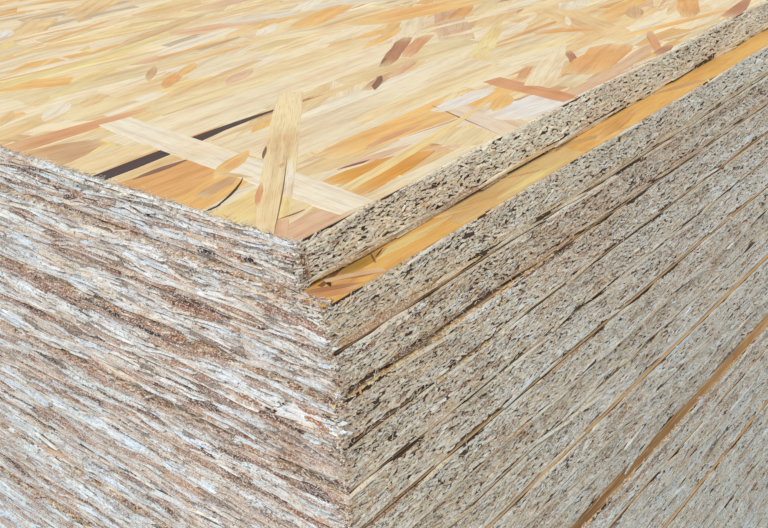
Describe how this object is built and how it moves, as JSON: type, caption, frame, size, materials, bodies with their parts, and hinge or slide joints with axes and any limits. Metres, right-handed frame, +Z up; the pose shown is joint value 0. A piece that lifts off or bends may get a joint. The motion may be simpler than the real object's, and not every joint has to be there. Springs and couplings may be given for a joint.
{
  "type": "stack of osb panels",
  "caption": "Straight stack of loose rectangular oriented strand board sheets, with sawn edges, slightly shifted on each other.",
  "frame": {"origin": "middle of the stack's footprint on the floor, at the lowest sheet's lower face", "axes": "+X along the sheets' length, +Y along their width, +Z up"},
  "size_m": [2.5063, 1.2719, 0.72],
  "materials": {
    "strand_board": "pressed wood strands, matt, sawn edges"
  },
  "bodies": {
    "root": {"panel_01": "strand_board", "panel_02": "strand_board", "panel_03": "strand_board", "panel_04": "strand_board", "panel_05": "strand_board", "panel_06": "strand_board", "panel_07": "strand_board", "panel_08": "strand_board", "panel_09": "strand_board", "panel_10": "strand_board", "panel_11": "strand_board", "panel_12": "strand_board", "panel_13": "strand_board", "panel_14": "strand_board", "panel_15": "strand_board", "panel_16": "strand_board", "panel_17": "strand_board", "panel_18": "strand_board", "panel_19": "strand_board", "panel_20": "strand_board", "panel_21": "strand_board", "panel_22": "strand_board", "panel_23": "strand_board", "panel_24": "strand_board", "panel_25": "strand_board", "panel_26": "strand_board", "panel_27": "strand_board", "panel_28": "strand_board", "panel_29": "strand_board", "panel_30": "strand_board", "panel_31": "strand_board", "panel_32": "strand_board", "panel_33": "strand_board", "panel_34": "strand_board", "panel_35": "strand_board", "panel_36": "strand_board", "panel_37": "strand_board", "panel_38": "strand_board", "panel_39": "strand_board", "panel_40": "strand_board", "panel_41": "strand_board", "panel_42": "strand_board", "panel_43": "strand_board", "panel_44": "strand_board", "panel_45": "strand_board", "panel_46": "strand_board", "panel_47": "strand_board", "panel_48": "strand_board"}
  },
  "joints": []
}
